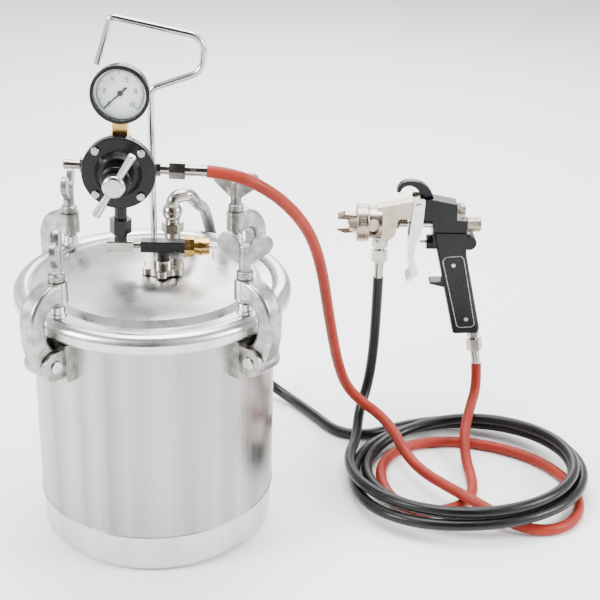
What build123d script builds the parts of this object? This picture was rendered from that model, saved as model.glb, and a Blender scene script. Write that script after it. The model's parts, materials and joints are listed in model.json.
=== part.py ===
"""A 10 litre paint pressure pot: clamped lid, regulator, two hoses and a spray gun.

The origin is the centre of the pot's base, +Z is up, and the regulator and gauge face -Y.
"""
import os
from math import cos, radians, sin, tan, pi

from build123d import *

os.makedirs("parts", exist_ok=True)

# ---- driving dimensions, mm ----
BODY_R = 120            # outside of the pot wall
WALL = 2.5              # sheet thickness of pot, base cup and lid
SEAM_Z = 41             # weld between the base cup and the wall
FLANGE_TOP = 256        # top face of the pot's flange
FLANGE_R = 131
GASKET_TOP = 258.5
LID_R = 136             # outside of the lid's rolled bead
LID_TOP = 284
SLIP = 0.05             # radial running clearance of shafts and screws
GAP = 0.3               # clearance between pieces that move past each other

CLAMP_AZIMUTHS = (-40.3, 49.7, 139.7, 229.7)
WING_AZIMUTHS = (-10, -24, 88, 94)     # how each wing happens to stand
SCREW_R = 121           # clamp screw axis, from the pot's axis
PIVOT_R = 139
PIVOT_Z = 227
PIN_R = 4
EYE_R = 14
EYE_HALF = 8            # half the width of an arm's eye, between two cheeks
ARM_HALF = 10
CHEEK = 6
BOSS_BOTTOM = 283
BOSS_TOP = 304
FOOT_BOTTOM = 268 + GAP
FOOT_TOP = 279.5
SCREW_RADIUS = 5

AIR_Y = -18             # plane of the air line on the lid
LINE_X = -28.5          # where the regulator's riser leaves the air line
LINE_Z = 309            # height of the air line
LEAN = 1.9              # the riser leans this far to the right
REG_UP = 79             # regulator above the air line, along the riser
GAUGE_UP = 150.5
FLANGE_Y = -31          # diaphragm plane of the regulator
REG_R = 34.5
BOLT_CIRCLE = 29.5
GAUGE_R = 27.3
PORT_X = 12             # air port through the lid
TUBE_X, TUBE_Y = 17, 35  # fluid outlet through the lid
ROD_X, ROD_Y = -1, 28   # carrying handle
ROD_R = 3.2

GUN_Y = 180
GUN_Z = 258.5           # needle axis
TRIGGER_X, TRIGGER_Z = 277.5, 282
INLET_X = 237.5         # fluid inlet under the gun head
GRIP_LEAN = 10          # air inlet under the grip

HOSE_R = 6
NUT_LENGTH = 15         # swivel nut and hose tail at each hose end
TAIL_LENGTH = 20
TAIL_R = 5.25


def save(builder, label):
    builder.part.label = label
    export_step(builder.part, f"parts/{label}.step")


def facing(y=0.0, x=0.0, z=0.0):
    """A plane seen from -Y: its x is +X, its y is +Z, and it extrudes towards -Y."""
    return Plane(origin=(x, y, z), x_dir=(1, 0, 0), z_dir=(0, -1, 0))


def sideways(x, y, z):
    """A plane across a +X axis at the given point."""
    return Plane(origin=(x, y, z), x_dir=(0, 1, 0), z_dir=(1, 0, 0))


# the riser's own leaning frame: along is +X turned down by the lean, up is +Z turned with it
ALONG = Vector(cos(radians(LEAN)), 0, -sin(radians(LEAN)))
UP = Vector(sin(radians(LEAN)), 0, cos(radians(LEAN)))


def on_riser(along, up, y=AIR_Y):
    return Vector(LINE_X, y, LINE_Z) + ALONG * along + UP * up


def riser_front(up, y):
    return Plane(origin=on_riser(0, up, y), x_dir=ALONG, z_dir=(0, -1, 0))


def riser_level(up, along=0.0):
    return Plane(origin=on_riser(along, up), x_dir=ALONG, z_dir=UP)


def riser_side(along, up=REG_UP):
    return Plane(origin=on_riser(along, up), x_dir=(0, 1, 0), z_dir=ALONG)


def radial(azimuth):
    """The upright plane through the pot's axis: x is the radius, y is the height."""
    a = radians(azimuth)
    return Plane(origin=(0, 0, 0), x_dir=(cos(a), sin(a), 0), z_dir=(sin(a), -cos(a), 0))


def at_screw(azimuth, height):
    a = radians(azimuth)
    return Plane(origin=(SCREW_R * cos(a), SCREW_R * sin(a), height))


# ---- pot ----
SHELL_OUTLINE = [
    (BODY_R - WALL, SEAM_Z), (BODY_R, SEAM_Z), (BODY_R, FLANGE_TOP - 9),
    (FLANGE_R, FLANGE_TOP - 5), (FLANGE_R, FLANGE_TOP), (BODY_R - WALL, FLANGE_TOP),
]
with BuildPart() as pot_shell:
    with BuildSketch(Plane.XZ):
        with BuildLine():
            Polyline(*SHELL_OUTLINE, close=True)
        make_face()
    revolve(axis=Axis.Z)
    fillet(pot_shell.edges().filter_by_position(Axis.Z, FLANGE_TOP - 10, FLANGE_TOP - 4), 1.5)
    # weld bead round the bottom of the wall
    with BuildSketch(Plane.XZ):
        with Locations((BODY_R - 0.4, SEAM_Z + 1.2)):
            Circle(1.1)
    revolve(axis=Axis.Z)
save(pot_shell, "pot_shell")

BASE_R = BODY_R - 1.6
with BuildPart() as base_cup:
    with BuildSketch(Plane.XY):
        Circle(BASE_R)
    extrude(amount=SEAM_Z)
    fillet(base_cup.faces().sort_by(Axis.Z)[0].edges(), 9)
    with BuildSketch(Plane.XY.offset(3)):
        Circle(BASE_R - WALL)
    extrude(amount=SEAM_Z, mode=Mode.SUBTRACT)
    fillet(base_cup.faces().filter_by(Axis.Z).sort_by(Axis.Z)[1].edges(), 7)
save(base_cup, "base_cup")

with BuildPart() as lid_gasket:
    with BuildSketch(Plane.XY.offset(FLANGE_TOP)):
        Circle(FLANGE_R - 0.5)
        Circle(BODY_R - 1, mode=Mode.SUBTRACT)
    extrude(amount=GASKET_TOP - FLANGE_TOP)
save(lid_gasket, "lid_gasket")

GROOVE_Z = 264
DOME_R = 101
with BuildPart() as lid:
    with BuildSketch(Plane.XZ):
        with BuildLine():
            ThreePointArc((0, LID_TOP), (55, LID_TOP - 4.2), (DOME_R, LID_TOP - 14.5))
            Line((DOME_R, LID_TOP - 14.5), (107, GROOVE_Z))
            Line((107, GROOVE_Z), (117, GROOVE_Z))
            ThreePointArc((117, GROOVE_Z), (128, 268), (LID_R, 260))
            Line((LID_R, 260), (LID_R, 253.5))
            Line((LID_R, 253.5), (LID_R - 1.2, 251))
            Line((LID_R - 1.2, 251), (LID_R - WALL, 251))
            Line((LID_R - WALL, 251), (LID_R - WALL, GASKET_TOP))
            Line((LID_R - WALL, GASKET_TOP), (104, GASKET_TOP))
            Line((104, GASKET_TOP), (DOME_R - 1, LID_TOP - 18))
            ThreePointArc((DOME_R - 1, LID_TOP - 18), (55, LID_TOP - 7.4), (0, LID_TOP - WALL))
            Line((0, LID_TOP - WALL), (0, LID_TOP))
        make_face()
    revolve(axis=Axis.Z)
    for x, y, r in ((PORT_X, AIR_Y, 5.75), (TUBE_X, TUBE_Y, 6), (ROD_X, ROD_Y, ROD_R)):
        with BuildSketch(Plane.XY.offset(LID_TOP - 40)):
            with Locations((x, y)):
                Circle(r)
        extrude(amount=60, mode=Mode.SUBTRACT)
save(lid, "lid")

# ---- clamp brackets and pins, one of each under every clamp ----
with BuildPart() as clamp_brackets:
    for azimuth in CLAMP_AZIMUTHS:
        plane = radial(azimuth)
        for side in (1, -1):
            with BuildSketch(plane.offset(side * (EYE_HALF + GAP))):
                with Locations((PIVOT_R, PIVOT_Z)):
                    Circle(EYE_R)
                with Locations((BODY_R + 2, PIVOT_Z)):
                    Circle(EYE_R)
                make_hull()
            extrude(amount=side * CHEEK)
        with BuildSketch(Plane.XY.offset(PIVOT_Z - 19)):
            with Locations(Rotation(0, 0, azimuth)):
                with Locations((BODY_R, 0)):
                    Rectangle(20, 36)
        extrude(amount=38)
        with BuildSketch(plane):
            with Locations((PIVOT_R, PIVOT_Z)):
                Circle(PIN_R)
        extrude(amount=40, both=True, mode=Mode.SUBTRACT)
    # the foot of each bracket follows the wall and stays behind the arm's eye
    with BuildSketch(Plane.XY.offset(PIVOT_Z - 30)):
        Circle(BODY_R)
    extrude(amount=60, mode=Mode.SUBTRACT)
    for azimuth in CLAMP_AZIMUTHS:
        with BuildSketch(radial(azimuth)):
            with Locations((PIVOT_R, PIVOT_Z)):
                Circle(EYE_R + 1.4)
            with Locations((PIVOT_R - 3, PIVOT_Z + 15)):
                Rectangle(25, 30)
        extrude(amount=EYE_HALF + GAP, both=True, mode=Mode.SUBTRACT)
save(clamp_brackets, "clamp_brackets")

PIN_HALF = EYE_HALF + GAP + CHEEK
with BuildPart() as hinge_pins:
    for azimuth in CLAMP_AZIMUTHS:
        plane = radial(azimuth)
        with BuildSketch(plane):
            with Locations((PIVOT_R, PIVOT_Z)):
                Circle(PIN_R)
        extrude(amount=PIN_HALF, both=True)
        for side in (1, -1):
            with BuildSketch(plane.offset(side * PIN_HALF)):
                with Locations((PIVOT_R, PIVOT_Z)):
                    Circle(PIN_R + 2)
            extrude(amount=side * 2.2)
    fillet(hinge_pins.edges().filter_by(GeomType.CIRCLE).group_by(SortBy.RADIUS)[-1], 0.8)
save(hinge_pins, "hinge_pins")


# ---- clamps ----
def clamp_arm(azimuth):
    plane = radial(azimuth)
    with BuildPart() as arm:
        with BuildSketch(plane) as outline:
            with BuildLine():
                Line((SCREW_R, BOSS_TOP), (133, BOSS_TOP))
                ThreePointArc((133, BOSS_TOP), (152.5, 292), (160, 266))
                ThreePointArc((160, 266), (158.6, 246), (151.5, 226))
                Line((151.5, 226), (139, 226))
                Line((139, 226), (131.5, 238))
                ThreePointArc((131.5, 238), (141.2, 251), (143.8, 268))
                ThreePointArc((143.8, 268), (140.6, 278), (131, BOSS_BOTTOM))
                Line((131, BOSS_BOTTOM), (SCREW_R, BOSS_BOTTOM))
                Line((SCREW_R, BOSS_BOTTOM), (SCREW_R, BOSS_TOP))
            make_face()
            fillet(outline.vertices(), 4)
        extrude(amount=ARM_HALF, both=True)
        flat_sides = arm.faces().filter_by(Axis((0, 0, 0), plane.z_dir)).edges()
        fillet(flat_sides, 4)
        with BuildSketch(at_screw(azimuth, BOSS_BOTTOM)):
            Circle(ARM_HALF)
        extrude(amount=BOSS_TOP - BOSS_BOTTOM)
        with BuildSketch(plane):
            with Locations((PIVOT_R, PIVOT_Z)):
                Circle(EYE_R)
        extrude(amount=EYE_HALF, both=True)
        for side in (1, -1):
            with BuildSketch(plane.offset(side * EYE_HALF)):
                with Locations((PIVOT_R, PIVOT_Z)):
                    Circle(EYE_R + 1.2)
            extrude(amount=side * 5, mode=Mode.SUBTRACT)
        with BuildSketch(plane):
            with Locations((PIVOT_R, PIVOT_Z)):
                Circle(PIN_R + SLIP)
        extrude(amount=20, both=True, mode=Mode.SUBTRACT)
        with BuildSketch(at_screw(azimuth, BOSS_BOTTOM - 5)):
            Circle(SCREW_RADIUS + SLIP)
        extrude(amount=40, mode=Mode.SUBTRACT)
    return arm


SOCKET_Z = 274
def clamp_foot(azimuth):
    """The swivel pad that presses on the lid, with a socket for the screw's end."""
    with BuildPart() as foot:
        with BuildSketch(at_screw(azimuth, FOOT_BOTTOM)):
            Circle(8)
        extrude(amount=4)
        fillet(foot.edges().filter_by(GeomType.CIRCLE), 0.8)
        with BuildSketch(at_screw(azimuth, FOOT_BOTTOM + 4)):
            Circle(7)
        extrude(amount=FOOT_TOP - FOOT_BOTTOM - 4)
        fillet(foot.faces().sort_by(Axis.Z)[-1].edges(), 1)
        with BuildSketch(at_screw(azimuth, SOCKET_Z)):
            Circle(SCREW_RADIUS + SLIP)
        extrude(amount=10, mode=Mode.SUBTRACT)
    return foot


SHOULDER_Z = BOSS_TOP + 0.6
HUB_Z = 312
HUB_TOP = 337
def wing_screw(azimuth, wing_azimuth):
    with BuildPart() as screw:
        with BuildSketch(at_screw(azimuth, SOCKET_Z + 0.1)):
            Circle(SCREW_RADIUS)
        extrude(amount=SHOULDER_Z + 2 - SOCKET_Z)
        with BuildSketch(at_screw(azimuth, SHOULDER_Z)):
            Circle(8)
        extrude(amount=HUB_Z - SHOULDER_Z)
        fillet(screw.faces().sort_by(Axis.Z)[-1].edges(), 2.5)
        with BuildSketch(at_screw(azimuth, HUB_Z)):
            Circle(5.6)
        extrude(amount=HUB_TOP - HUB_Z)
        fillet(screw.faces().sort_by(Axis.Z)[-1].edges(), 2)
        a, w = radians(azimuth), radians(wing_azimuth)
        wings = Plane(
            origin=(SCREW_R * cos(a), SCREW_R * sin(a), 0),
            x_dir=(cos(w), sin(w), 0), z_dir=(sin(w), -cos(w), 0),
        )
        for side in (1, -1):
            with BuildSketch(wings):
                with Locations((side * 16.5, 338.5)):
                    Circle(9)
                with Locations((side * 4, 323)):
                    Circle(4.5)
                make_hull()
            extrude(amount=2.75, both=True)
    return screw


for number, azimuth in enumerate(CLAMP_AZIMUTHS, 1):
    save(clamp_arm(azimuth), f"clamp_arm_{number}")
    save(clamp_foot(azimuth), f"clamp_foot_{number}")
    save(wing_screw(azimuth, WING_AZIMUTHS[number - 1]), f"wing_screw_{number}")

# ---- carrying handle: one bent rod ----
with BuildPart() as handle_rod:
    with BuildLine(facing(ROD_Y)) as rod_line:
        FilletPolyline(
            (ROD_X, LID_TOP - 6), (ROD_X, 450), (48.8, 467.9), (50, 500.2), (-36, 517.8), (-50.3, 473),
            radius=[9, 16, 16, 4],
        )
    with BuildSketch(Plane(origin=(ROD_X, ROD_Y, LID_TOP - 6))):
        Circle(ROD_R)
    sweep(path=rod_line.wires()[0])
save(handle_rod, "handle_rod")

# ---- air line on the lid ----
BAR_HALF = 5.5
with BuildPart() as air_block:
    with BuildSketch(Plane.XY.offset(LINE_Z - BAR_HALF)):
        with Locations((LINE_X + 0.3, AIR_Y)):
            Rectangle(25, 13)
    extrude(amount=2 * BAR_HALF)
    chamfer(air_block.edges().filter_by(Axis.X), 1)
    with BuildSketch(sideways(LINE_X, AIR_Y, LINE_Z)):
        Circle(2.9)
    extrude(amount=20, mode=Mode.SUBTRACT)
save(air_block, "air_block")

BLOCK_END = LINE_X + 0.3 + 12.5
BAR_START, BAR_END = -9, 33.5
with BuildPart() as block_nipple:
    with BuildSketch(sideways(BLOCK_END - 6, AIR_Y, LINE_Z)):
        Circle(2.9)
        Circle(1.5, mode=Mode.SUBTRACT)
    extrude(amount=BAR_START - BLOCK_END + 12)
save(block_nipple, "block_nipple")

with BuildPart() as manifold:
    with BuildSketch(Plane.XY.offset(LINE_Z - BAR_HALF)):
        with Locations(((BAR_START + BAR_END) / 2, AIR_Y)):
            Rectangle(BAR_END - BAR_START, 12)
    extrude(amount=2 * BAR_HALF)
    chamfer(manifold.edges().filter_by(Axis.X), 1)
    with BuildSketch(Plane.XY.offset(LID_TOP - 9)):
        with Locations((PORT_X, AIR_Y)):
            Circle(5.75)
    extrude(amount=LINE_Z - LID_TOP + 5)
    with BuildSketch(sideways(BAR_START, AIR_Y, LINE_Z)):
        Circle(2.9)
    extrude(amount=6, mode=Mode.SUBTRACT)
    with BuildSketch(sideways(BAR_END - 8, AIR_Y, LINE_Z)):
        Circle(5)
    extrude(amount=10, mode=Mode.SUBTRACT)
save(manifold, "manifold")

NUT_Z = LID_TOP - 0.4
with BuildPart() as port_nut:
    with BuildSketch(Plane.XY.offset(NUT_Z)):
        with Locations((PORT_X, AIR_Y)):
            Circle(17)
            with PolarLocations(16.5, 6, start_angle=30):
                Circle(5.2)
    extrude(amount=6.5)
    with BuildSketch(Plane.XY.offset(NUT_Z + 6.5)):
        with Locations((PORT_X, AIR_Y)):
            Circle(9.5)
    extrude(amount=5.5)
    fillet(port_nut.faces().sort_by(Axis.Z)[-1].edges(), 1.2)
    with BuildSketch(Plane.XY.offset(NUT_Z - 5)):
        with Locations((PORT_X, AIR_Y)):
            Circle(5.75)
    extrude(amount=30, mode=Mode.SUBTRACT)
save(port_nut, "port_nut")

VALVE_END = 56.5
RING_TRAVEL = 3
with BuildPart() as relief_valve:
    with BuildSketch(sideways(BAR_END - 8, AIR_Y, LINE_Z)):
        Circle(5)
    extrude(amount=8)
    with BuildSketch(sideways(BAR_END, AIR_Y, LINE_Z)):
        RegularPolygon(9.2, 6, major_radius=False)
    extrude(amount=9)
    with BuildSketch(sideways(BAR_END + 9, AIR_Y, LINE_Z)):
        Circle(8)
    extrude(amount=VALVE_END - BAR_END - 9)
    with BuildSketch(sideways(BAR_END + 13, AIR_Y, LINE_Z)):
        Circle(9.2)
    extrude(amount=3)
    with BuildSketch(sideways(BAR_END, AIR_Y, LINE_Z)):
        Circle(1.6 + SLIP)
    extrude(amount=40, mode=Mode.SUBTRACT)
save(relief_valve, "relief_valve")

with BuildPart() as relief_ring:
    with BuildSketch(sideways(BAR_END + 1, AIR_Y, LINE_Z)):
        Circle(1.6)
    extrude(amount=VALVE_END + 6 - BAR_END - 1)
    with BuildSketch(facing(AIR_Y)):
        with Locations((VALVE_END + 4, LINE_Z + 1)):
            Circle(1.2)
    revolve(axis=Axis((VALVE_END + 4, AIR_Y, LINE_Z - 5.5), (1, 0, 0)))
save(relief_ring, "relief_ring")

# ---- regulator, on its leaning riser ----
BODY_DEPTH = 22
with BuildPart() as regulator_riser:
    with BuildSketch(riser_level(BAR_HALF)):
        Circle(6)
    extrude(amount=8)
    with BuildSketch(riser_level(BAR_HALF + 8)):
        RegularPolygon(9, 6, major_radius=False)
    extrude(amount=14)
    with BuildSketch(riser_level(BAR_HALF + 22)):
        Circle(6)
    extrude(amount=REG_UP - 24 - BAR_HALF - 22)
save(regulator_riser, "regulator_riser")

with BuildPart() as regulator_body:
    with BuildSketch(riser_front(REG_UP, FLANGE_Y + 0.5)):
        Circle(REG_R)
    extrude(amount=-3.3)
    fillet(regulator_body.faces().sort_by(Axis.Y)[-1].edges(), 1.5)
    with BuildSketch(riser_front(REG_UP, FLANGE_Y + 3.8)):
        Circle(25)
    extrude(amount=-(BODY_DEPTH - 1.3))
    fillet(regulator_body.faces().sort_by(Axis.Y)[-1].edges(), 4)
    for plane, length in (
        (riser_side(0), 30.5), (riser_side(0), -30.5),
        (riser_level(REG_UP), 26), (riser_level(REG_UP), -24),
    ):
        with BuildSketch(plane):
            Circle(8)
        extrude(amount=length)
    # chamber behind the diaphragm, and the four threaded ports
    with BuildSketch(riser_front(REG_UP, FLANGE_Y + 0.5)):
        Circle(22)
    extrude(amount=-8, mode=Mode.SUBTRACT)
    with BuildSketch(riser_side(-60)):
        Circle(4.5)
    extrude(amount=120, mode=Mode.SUBTRACT)
    with BuildSketch(riser_level(REG_UP - 40)):
        Circle(4.5)
    extrude(amount=80, mode=Mode.SUBTRACT)
    with BuildSketch(riser_front(REG_UP, FLANGE_Y + 0.5)):
        with PolarLocations(BOLT_CIRCLE, 4, start_angle=45):
            Circle(2)
    extrude(amount=-6, mode=Mode.SUBTRACT)
save(regulator_body, "regulator_body")

with BuildPart() as diaphragm:
    with BuildSketch(riser_front(REG_UP, FLANGE_Y + 0.5)):
        Circle(REG_R - 0.5)
        with PolarLocations(BOLT_CIRCLE, 4, start_angle=45):
            Circle(2, mode=Mode.SUBTRACT)
    extrude(amount=1)
save(diaphragm, "diaphragm")

BONNET_BACK = FLANGE_Y - 0.5
BONNET_END = BONNET_BACK - 28
with BuildPart() as regulator_bonnet:
    with BuildSketch(riser_front(REG_UP, BONNET_BACK)):
        Circle(REG_R)
    extrude(amount=6)
    fillet(regulator_bonnet.faces().sort_by(Axis.Y)[0].edges(), 1.5)
    with BuildSketch(riser_front(REG_UP, BONNET_BACK - 6)):
        Circle(22)
    extrude(amount=8, taper=28)
    with BuildSketch(riser_front(REG_UP, BONNET_BACK - 6)):
        Circle(14)
    extrude(amount=22)
    fillet(regulator_bonnet.faces().sort_by(Axis.Y)[0].edges(), 2)
    with BuildSketch(riser_front(REG_UP, BONNET_BACK)):
        Circle(10.5)
    extrude(amount=24, mode=Mode.SUBTRACT)
    with BuildSketch(riser_front(REG_UP, BONNET_BACK)):
        Circle(4 + SLIP)
    extrude(amount=40, mode=Mode.SUBTRACT)
    with BuildSketch(riser_front(REG_UP, BONNET_BACK)):
        with PolarLocations(BOLT_CIRCLE, 4, start_angle=45):
            Circle(2)
    extrude(amount=6, mode=Mode.SUBTRACT)
save(regulator_bonnet, "regulator_bonnet")

with BuildPart() as bonnet_screws:
    with BuildSketch(riser_front(REG_UP, FLANGE_Y + 3.8)):
        with PolarLocations(BOLT_CIRCLE, 4, start_angle=45):
            Circle(2)
    extrude(amount=10.3)
    with BuildSketch(riser_front(REG_UP, BONNET_BACK - 6)):
        with PolarLocations(BOLT_CIRCLE, 4, start_angle=45):
            Circle(3.8)
    extrude(amount=2.8)
    fillet(bonnet_screws.faces().group_by(Axis.Y)[0].edges(), 1)
save(bonnet_screws, "bonnet_screws")

SEAT_Y = BONNET_BACK - 20
SPRING_BACK = BONNET_BACK - 1.2
SPRING_WIRE = 1
with BuildPart() as spring_seat:
    with BuildSketch(riser_front(REG_UP, SEAT_Y + 2.5)):
        Circle(9.5)
    extrude(amount=2.5)
    with BuildSketch(riser_front(REG_UP, SEAT_Y)):
        Circle(6)
    extrude(amount=1.5)
    with BuildSketch(riser_front(REG_UP, SEAT_Y)):
        Circle(4 + SLIP)
    extrude(amount=1.5, mode=Mode.SUBTRACT)
save(spring_seat, "spring_seat")

SPRING_LENGTH = SPRING_BACK - (SEAT_Y + 2.5) - 2 * SPRING_WIRE - 0.1
with BuildPart() as regulator_spring:
    base = on_riser(0, REG_UP, SPRING_BACK - SPRING_WIRE)
    with BuildLine():
        coil = Helix(
            pitch=SPRING_LENGTH / 5, height=SPRING_LENGTH, radius=7.5,
            center=base, direction=(0, -1, 0),
        )
    with BuildSketch(Plane(origin=coil @ 0, z_dir=coil % 0)):
        Circle(SPRING_WIRE)
    sweep(path=coil, is_frenet=True)
save(regulator_spring, "regulator_spring")

HUB_BACK = BONNET_END - 5.5
TEE_BAR_ANGLE = 58.7
with BuildPart() as regulator_handle:
    with BuildSketch(riser_front(REG_UP, SEAT_Y - 0.05)):
        Circle(4)
    extrude(amount=SEAT_Y - HUB_BACK)
    with BuildSketch(riser_front(REG_UP, HUB_BACK)):
        Circle(10.5)
    extrude(amount=11)
    fillet(regulator_handle.faces().sort_by(Axis.Y)[0].edges(), 3)
    fillet(regulator_handle.edges().filter_by(GeomType.CIRCLE).sort_by(SortBy.RADIUS)[-1], 1.5)
    bar = radians(TEE_BAR_ANGLE)
    centre = on_riser(0, REG_UP, HUB_BACK - 5.5)
    tee_bar = Plane(origin=centre, z_dir=(cos(bar), 0, sin(bar)))
    for side in (1, -1):
        with BuildSketch(tee_bar):
            Circle(2.8)
        extrude(amount=side * 34, taper=-2.2)
    bar_ends = regulator_handle.faces().sort_by(Axis(tuple(centre), tuple(tee_bar.z_dir)))
    fillet(bar_ends[0].edges() + bar_ends[-1].edges(), 1.2)
save(regulator_handle, "regulator_handle")

# ---- gauge ----
CASE_BACK = AIR_Y + 10
DIAL_Y = AIR_Y - 3
GLASS_Y = AIR_Y - 7.5
CASE_FRONT = AIR_Y - 10
with BuildPart() as gauge_stem:
    with BuildSketch(riser_level(REG_UP + 26)):
        RegularPolygon(9, 6, major_radius=False)
    extrude(amount=6)
    with BuildSketch(riser_level(REG_UP + 32)):
        Rectangle(14, 14)
    extrude(amount=GAUGE_UP - REG_UP - 32 - 25)
    with BuildSketch(riser_level(REG_UP + 20)):
        Circle(4.5)
    extrude(amount=8)
    with BuildSketch(riser_level(REG_UP + 15)):
        Circle(2)
    extrude(amount=60, mode=Mode.SUBTRACT)
save(gauge_stem, "gauge_stem")

with BuildPart() as gauge_case:
    with BuildSketch(riser_front(GAUGE_UP, CASE_BACK)):
        Circle(GAUGE_R - 1.6)
    extrude(amount=CASE_BACK - CASE_FRONT)
    fillet(gauge_case.faces().sort_by(Axis.Y)[-1].edges(), 3)
    with BuildSketch(riser_front(GAUGE_UP, CASE_FRONT + 8)):
        Circle(GAUGE_R)
    extrude(amount=8)
    fillet(gauge_case.edges().filter_by(GeomType.CIRCLE).group_by(SortBy.RADIUS)[-1], 1.2)
    with BuildSketch(riser_front(GAUGE_UP, CASE_BACK - 2)):
        Circle(GAUGE_R - 3.3)
    extrude(amount=30, mode=Mode.SUBTRACT)
    with BuildSketch(riser_level(GAUGE_UP - 25 - 6)):
        Rectangle(14, 14)
    extrude(amount=6, mode=Mode.SUBTRACT)
save(gauge_case, "gauge_case")

with BuildPart() as gauge_dial:
    with BuildSketch(riser_front(GAUGE_UP, DIAL_Y + 1)):
        Circle(GAUGE_R - 3.3)
        Circle(0.9 + SLIP, mode=Mode.SUBTRACT)
    extrude(amount=1)
save(gauge_dial, "gauge_dial")

with BuildPart() as gauge_pointer:
    with BuildSketch(riser_front(GAUGE_UP, DIAL_Y - GAP)) as needle_outline:
        Circle(2.6)
        with BuildLine():
            Polyline((-1, 8), (1, 8), (0.35, -20.5), (-0.35, -20.5), close=True)
        make_face()
    extrude(amount=0.8)
    with BuildSketch(riser_front(GAUGE_UP, DIAL_Y + 4)):
        Circle(0.9)
    extrude(amount=5)
POINTER_REST = -45      # from straight down, the needle rests at the start of its scale
pointer_axis = Axis(tuple(on_riser(0, GAUGE_UP, DIAL_Y)), (0, -1, 0))
gauge_pointer.part = gauge_pointer.part.rotate(pointer_axis, POINTER_REST)
save(gauge_pointer, "gauge_pointer")

with BuildPart() as gauge_lens:
    with BuildSketch(riser_front(GAUGE_UP, GLASS_Y + 0.5)):
        Circle(GAUGE_R - 3.3)
    extrude(amount=1.5)
save(gauge_lens, "gauge_lens")

# ---- nipples on the regulator ----
with BuildPart() as air_inlet_nipple:
    with BuildSketch(riser_side(-26)):
        Circle(4.5)
    extrude(amount=-6)
    with BuildSketch(riser_side(-30.5)):
        RegularPolygon(6, 6, major_radius=False)
    extrude(amount=-7)
    with BuildSketch(riser_side(-37.5)):
        Circle(4.1)
    extrude(amount=-15)
    with BuildSketch(riser_side(-48)):
        Circle(4.6)
    extrude(amount=-5.5)
    fillet(air_inlet_nipple.faces().sort_by(Axis.X)[0].edges(), 1)
    with BuildSketch(riser_side(-20)):
        Circle(2)
    extrude(amount=-40, mode=Mode.SUBTRACT)
save(air_inlet_nipple, "air_inlet_nipple")

OUTLET_END = 45.5
with BuildPart() as air_outlet_nipple:
    with BuildSketch(riser_side(26)):
        Circle(4.5)
    extrude(amount=6)
    with BuildSketch(riser_side(30.5)):
        RegularPolygon(6, 6, major_radius=False)
    extrude(amount=7)
    with BuildSketch(riser_side(37.5)):
        Circle(5)
    extrude(amount=OUTLET_END - 37.5)
    with BuildSketch(riser_side(20)):
        Circle(2)
    extrude(amount=40, mode=Mode.SUBTRACT)
save(air_outlet_nipple, "air_outlet_nipple")

# ---- fluid outlet ----
SWIVEL_Z = 303
with BuildPart() as dip_tube:
    with BuildSketch(Plane.XY.offset(14)):
        with Locations((TUBE_X, TUBE_Y)):
            Circle(6)
            Circle(4.5, mode=Mode.SUBTRACT)
    extrude(amount=LID_TOP - 14)
    with BuildSketch(Plane.XY.offset(LID_TOP - 1.2)):
        with Locations((TUBE_X, TUBE_Y)):
            RegularPolygon(12.5, 6, major_radius=False)
            Circle(4.5, mode=Mode.SUBTRACT)
    extrude(amount=9)
    with BuildSketch(Plane.XY.offset(LID_TOP + 7.8)):
        with Locations((TUBE_X, TUBE_Y)):
            Circle(8)
            Circle(4.5, mode=Mode.SUBTRACT)
    extrude(amount=SWIVEL_Z - LID_TOP - 7.8)
save(dip_tube, "dip_tube")

BALL_Z = 323.5
ELBOW_POINTS = ((TUBE_X, TUBE_Y, BALL_Z), (TUBE_X + 1, TUBE_Y + 1, 338.5), (32, 43, 339), (36, 53, 331))
with BuildPart() as fluid_elbow:
    with BuildSketch(Plane.XY.offset(SWIVEL_Z)):
        with Locations((TUBE_X, TUBE_Y)):
            RegularPolygon(9.6, 6, major_radius=False)
    extrude(amount=10)
    with BuildSketch(Plane.XY.offset(SWIVEL_Z + 10)):
        with Locations((TUBE_X, TUBE_Y)):
            Circle(7)
    extrude(amount=4)
    with Locations((TUBE_X, TUBE_Y, BALL_Z)):
        Sphere(10)
    with BuildLine() as elbow_line:
        FilletPolyline(*ELBOW_POINTS, radius=[7.4, 7.4])
    elbow_path = elbow_line.wires()[0]
    with BuildSketch(Plane(origin=elbow_path @ 0, z_dir=elbow_path % 0)):
        Circle(6.8)
    sweep(path=elbow_path)
    with BuildSketch(Plane.XY.offset(SWIVEL_Z - 5)):
        with Locations((TUBE_X, TUBE_Y)):
            Circle(4.5)
    extrude(amount=BALL_Z - SWIVEL_Z + 5, mode=Mode.SUBTRACT)
save(fluid_elbow, "fluid_elbow")

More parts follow.
